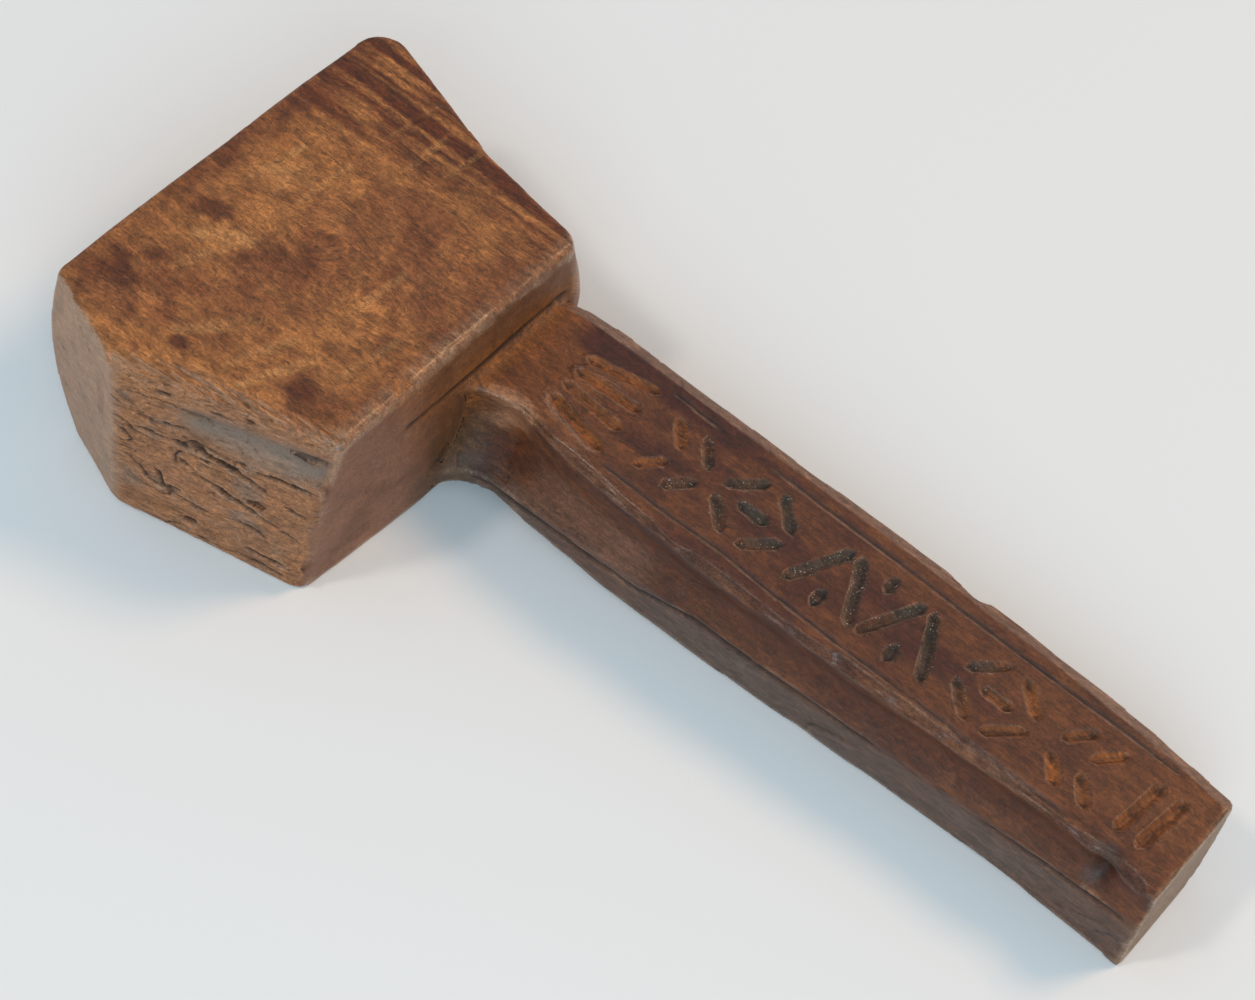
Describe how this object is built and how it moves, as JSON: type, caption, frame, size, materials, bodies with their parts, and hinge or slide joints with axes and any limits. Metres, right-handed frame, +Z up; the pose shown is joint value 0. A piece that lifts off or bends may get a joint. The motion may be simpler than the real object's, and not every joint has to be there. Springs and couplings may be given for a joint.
{
  "type": "wooden sugar mallet",
  "caption": "Hand-carved wooden mallet with a broad flared head and a short faceted grip, for breaking loaf sugar into lumps.",
  "frame": {"origin": "on the head's flat underside, in the handle's middle plane and midway through the head along the handle", "axes": "+X from the head along the handle to its butt, +Z up from the table it lies on, +Y across the head towards its shorter end"},
  "size_m": [0.2534, 0.1116, 0.0485],
  "materials": {
    "head_wood": "hand-cut hardwood, oiled and worn to a polish, with torn and cracked striking faces",
    "handle_wood": "hand-cut hardwood, dark and polished by handling"
  },
  "bodies": {
    "root": {"head": "head_wood", "handle": "handle_wood"}
  },
  "joints": []
}
